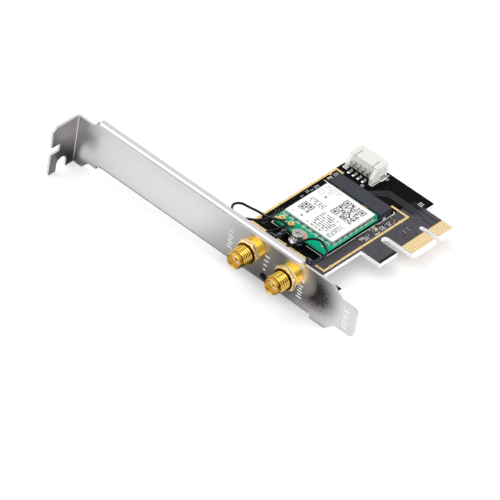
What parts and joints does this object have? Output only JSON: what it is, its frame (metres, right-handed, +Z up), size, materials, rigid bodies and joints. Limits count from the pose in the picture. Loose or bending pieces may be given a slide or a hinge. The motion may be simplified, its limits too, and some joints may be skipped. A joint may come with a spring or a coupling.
{
  "type": "wireless network card",
  "caption": "Wireless network expansion card: folded metal bracket with threaded antenna jacks, adapter board, socketed radio module, thin coaxial leads and a side-entry header.",
  "frame": {"origin": "centre of the bottom of the part's box, level with the lower edge of the bracket's screw tab", "axes": "+X along the bracket from the screw tab to the tongue, +Y from the bracket along the board, +Z up from the board on its component side"},
  "size_m": [0.12, 0.0816, 0.0216],
  "materials": {
    "bracket_steel": "bright nickel plate with fine grain and specks",
    "screw_steel": "nickel-plated, machined",
    "board_black": "black solder mask over copper, pale edges",
    "contact_gold": "flash gold over copper",
    "module_green": "green solder mask",
    "pad_copper": "bare copper",
    "shield_metal": "tinned sheet, satin",
    "label_paper": "printed film",
    "chip_parts": "small components",
    "socket_plastic": "moulded, slate grey",
    "tinned": "tinned",
    "standoff_metal": "tinned brass",
    "header_plastic": "moulded nylon, ivory",
    "lamp_resin": "milky resin",
    "coax_gold": "gold plate",
    "jack_gold": "polished gold plate",
    "pin_gold": "gold plate",
    "insulator_white": "white fluoropolymer",
    "sleeve_black": "shrunk tubing, satin",
    "lead_black": "smooth jacket",
    "capacitor_tan": "ceramic",
    "resistor_black": "ceramic with a dark face"
  },
  "bodies": {
    "root": {"mounting_bracket": "bracket_steel", "ear_screws": "screw_steel", "module_screw": "screw_steel", "adapter_board": "board_black", "edge_contacts_upper": "contact_gold", "edge_contacts_lower": "contact_gold", "guard_line": "contact_gold", "module_board": "module_green", "module_ring_pad": "pad_copper", "module_shield": "shield_metal", "module_label": "label_paper", "module_small_parts": "chip_parts", "socket_housing": "socket_plastic", "socket_contacts": "tinned", "socket_hold_downs": "tinned", "header_contacts": "tinned", "header_solder_tabs": "tinned", "chip_terminals": "tinned", "standoff": "standoff_metal", "header_housing": "header_plastic", "link_light": "lamp_resin", "coax_plug_1": "coax_gold", "coax_plug_2": "coax_gold", "coax_receptacle_1": "coax_gold", "coax_receptacle_2": "coax_gold", "jack_1_body": "jack_gold", "jack_2_body": "jack_gold", "jack_1_nut": "jack_gold", "jack_2_nut": "jack_gold", "jack_1_washer": "jack_gold", "jack_2_washer": "jack_gold", "jack_1_ferrule": "jack_gold", "jack_2_ferrule": "jack_gold", "jack_1_pin": "pin_gold", "jack_2_pin": "pin_gold", "jack_1_insulator": "insulator_white", "jack_2_insulator": "insulator_white", "sleeve_1": "sleeve_black", "sleeve_2": "sleeve_black", "lead_1": "lead_black", "lead_2": "lead_black", "board_capacitors": "capacitor_tan", "board_resistors": "resistor_black"}
  },
  "joints": []
}
